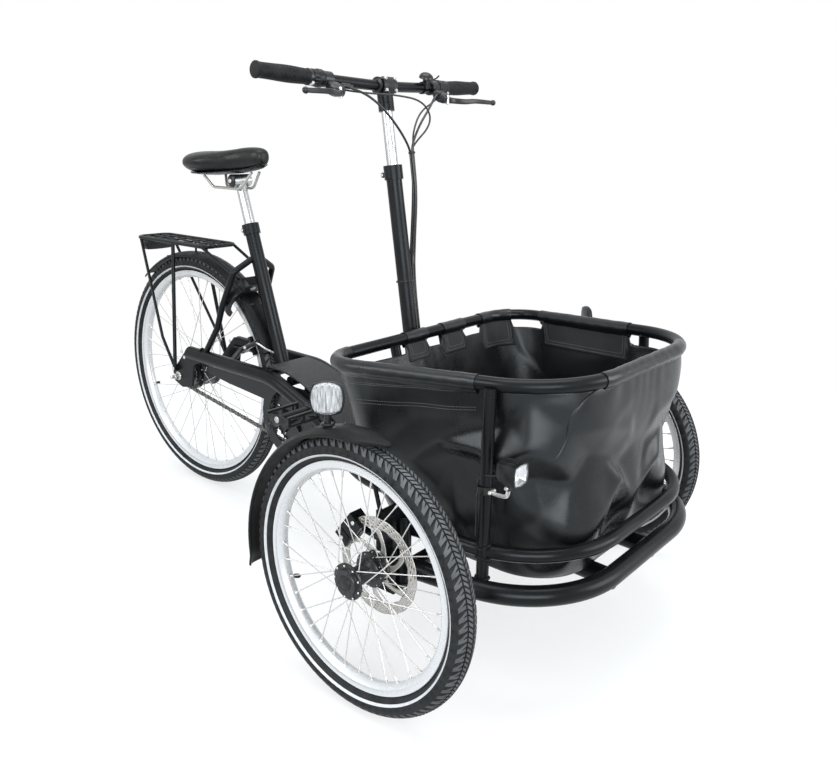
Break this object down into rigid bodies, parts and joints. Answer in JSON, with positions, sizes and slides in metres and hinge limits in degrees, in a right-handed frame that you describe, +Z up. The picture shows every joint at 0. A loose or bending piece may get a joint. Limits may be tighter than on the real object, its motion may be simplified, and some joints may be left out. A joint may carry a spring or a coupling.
{
  "type": "electric cargo tricycle",
  "caption": "Pedal cargo tricycle with electric assist: steered front wheels either side of a hanging soft tub, step-through frame, rear rack, lamps, locks and brakes.",
  "frame": {"origin": "on the ground under the middle of the vehicle's bounding box", "axes": "+X forwards, +Y to the rider's left, +Z up"},
  "size_m": [1.7089, 0.935, 1.117],
  "materials": {
    "frame_paint": "satin black powder coat",
    "tyre": "black rubber",
    "bright": "polished aluminium rims",
    "silver": "silver post and stem",
    "steel": "bright steel",
    "black_metal": "black satin metal",
    "tarpaulin": "semi-gloss black tarpaulin",
    "black_plastic": "black plastic",
    "rubber": "black rubber",
    "saddle_cover": "black saddle cover",
    "reflector": "white prismatic reflector",
    "lens": "black lamp body",
    "cable": "black cable housing",
    "deck": "speckled non-slip cover"
  },
  "bodies": {
    "frame": {"battery_block": "black_plastic", "chain": "black_metal", "chain_guard": "black_plastic", "deck_cover": "deck", "frame_links": "frame_paint", "headlamp": "lens", "lower_bumper": "frame_paint", "main_frame_left": "frame_paint", "main_frame_right": "frame_paint", "rear_axle": "steel", "rear_brake": "black_metal", "rear_mudguard": "black_plastic", "rear_rack": "frame_paint", "ring_lock": "black_metal", "saddle": "saddle_cover", "saddle_rails": "steel", "seat_post": "silver", "seat_stays": "frame_paint", "seat_tube": "frame_paint", "tail_lamp": "lens", "tub_bag": "tarpaulin", "tub_rim": "frame_paint", "tub_uprights": "frame_paint", "upper_bumper": "frame_paint"},
    "steering": {"steering_column": "frame_paint", "stem_post": "silver", "handlebar": "frame_paint", "grips": "rubber", "brake_levers": "black_metal", "bar_controls": "black_plastic", "brake_cable_right": "cable", "brake_cable_left": "cable"},
    "tie_rods": {"tie_rods": "steel"},
    "knuckle_right": {"knuckle_right": "frame_paint", "front_mudguard_right": "black_plastic", "reflector_right": "reflector"},
    "knuckle_left": {"knuckle_left": "frame_paint", "front_mudguard_left": "black_plastic", "reflector_left": "reflector"},
    "front_wheel_right": {"front_tyre_right": "tyre", "front_rim_right": "bright", "front_spokes_right": "steel", "front_hub_right": "black_metal", "front_disc_right": "steel"},
    "front_wheel_left": {"front_tyre_left": "tyre", "front_rim_left": "bright", "front_spokes_left": "steel", "front_hub_left": "black_metal", "front_disc_left": "steel"},
    "rear_wheel": {"rear_tyre": "tyre", "rear_rim": "bright", "rear_spokes": "steel", "rear_hub": "black_metal"},
    "crank": {"crankset": "black_metal"},
    "pedal_right": {"pedal_right": "black_plastic"},
    "pedal_left": {"pedal_left": "black_plastic"}
  },
  "joints": [
    {"name": "steering", "type": "hinge", "parent": "frame", "child": "steering", "pos_m": [0.3015, 0, 0.252], "axis": [-0.1547, 0, 0.988], "range_deg": [-24, 24]},
    {"name": "tie_rod", "type": "hinge", "parent": "steering", "child": "tie_rods", "pos_m": [0.2325, 0, 0.183], "axis": [-0.1547, 0, 0.988], "range_deg": [-24, 24]},
    {"name": "knuckle_right", "type": "hinge", "parent": "frame", "child": "knuckle_right", "pos_m": [0.5325, -0.336, 0.25], "axis": [0, 0, 1], "range_deg": [-24, 24]},
    {"name": "knuckle_left", "type": "hinge", "parent": "frame", "child": "knuckle_left", "pos_m": [0.5325, 0.336, 0.25], "axis": [0, 0, 1], "range_deg": [-24, 24]},
    {"name": "front_wheel_right", "type": "hinge", "parent": "knuckle_right", "child": "front_wheel_right", "pos_m": [0.5155, -0.4325, 0.25], "axis": [0, 1, 0], "continuous": true},
    {"name": "front_wheel_left", "type": "hinge", "parent": "knuckle_left", "child": "front_wheel_left", "pos_m": [0.5155, 0.4325, 0.25], "axis": [0, 1, 0], "continuous": true},
    {"name": "rear_wheel", "type": "hinge", "parent": "frame", "child": "rear_wheel", "pos_m": [-0.5275, 0, 0.327], "axis": [0, 1, 0], "continuous": true},
    {"name": "crank", "type": "hinge", "parent": "frame", "child": "crank", "pos_m": [-0.0875, 0, 0.298], "axis": [0, 1, 0], "continuous": true},
    {"name": "pedal_right", "type": "hinge", "parent": "crank", "child": "pedal_right", "pos_m": [0.05952, -0.1283, 0.37291], "axis": [0, 1, 0], "continuous": true},
    {"name": "pedal_left", "type": "hinge", "parent": "crank", "child": "pedal_left", "pos_m": [-0.23452, 0.1283, 0.22309], "axis": [0, 1, 0], "continuous": true}
  ],
  "couplings": [
    {"joint": "tie_rod", "follows": "steering", "ratio": -1},
    {"joint": "knuckle_right", "follows": "steering", "ratio": 1},
    {"joint": "knuckle_left", "follows": "steering", "ratio": 1}
  ]
}
